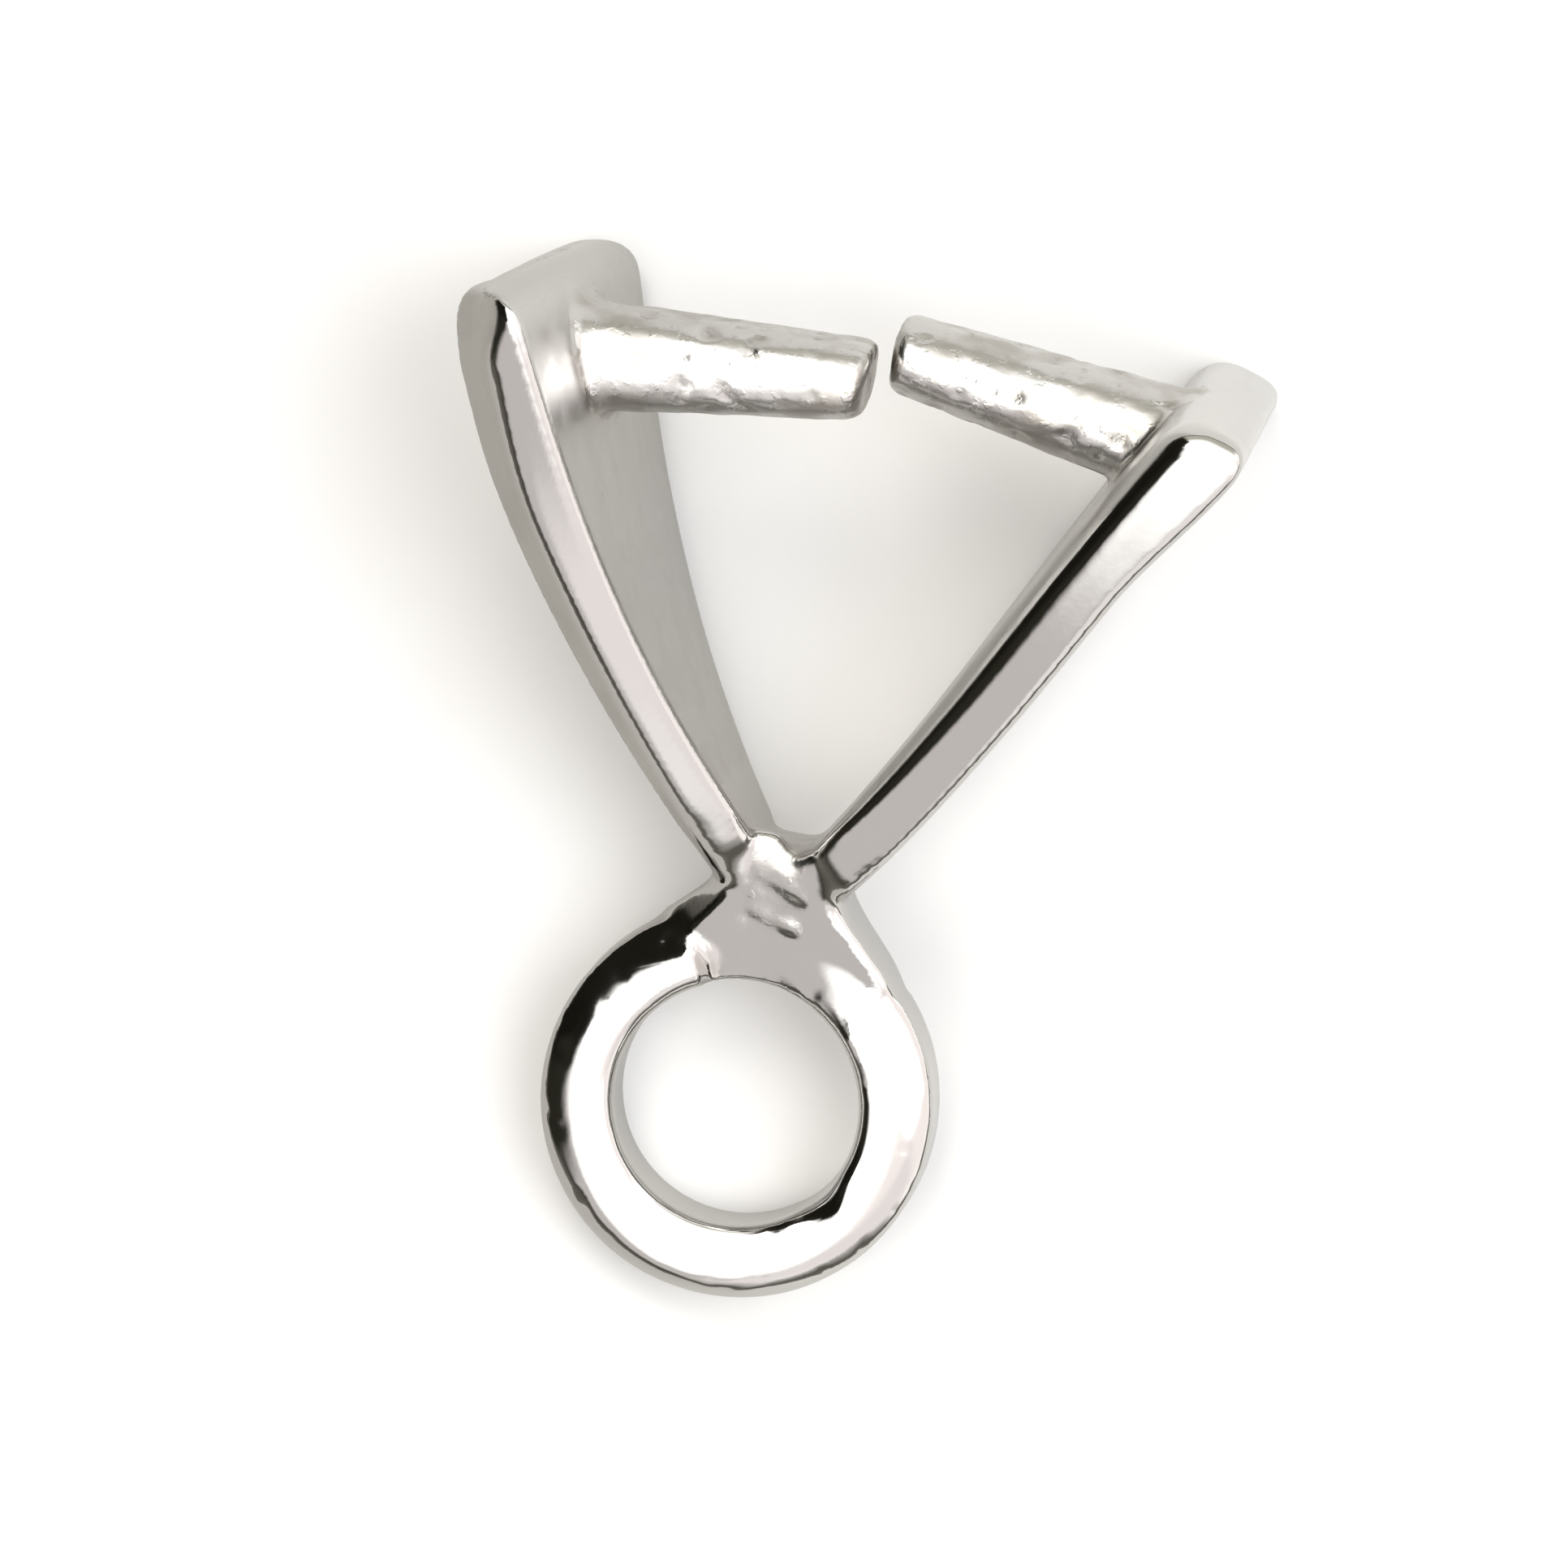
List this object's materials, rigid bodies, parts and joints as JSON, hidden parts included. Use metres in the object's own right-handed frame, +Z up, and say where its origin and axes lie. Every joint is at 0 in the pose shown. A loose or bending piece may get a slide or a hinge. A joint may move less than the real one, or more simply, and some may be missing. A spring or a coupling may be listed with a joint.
{
  "type": "pinch bail finding",
  "caption": "Cast silver pinch bail: a wide V of hollow-backed legs with inward pegs that grip a drilled stone, and a ring at the bottom of the V for a chain or jump ring.",
  "frame": {"origin": "centre of the bail's box in plan, on the surface it lies on", "axes": "+Z up from the surface, +Y along the bail from its ring to the open end of the V, +X from the first leg to the second"},
  "size_m": [0.0082, 0.0102, 0.005],
  "materials": {
    "silver": "polished cast silver"
  },
  "bodies": {
    "root": {"bail": "silver"}
  },
  "joints": []
}
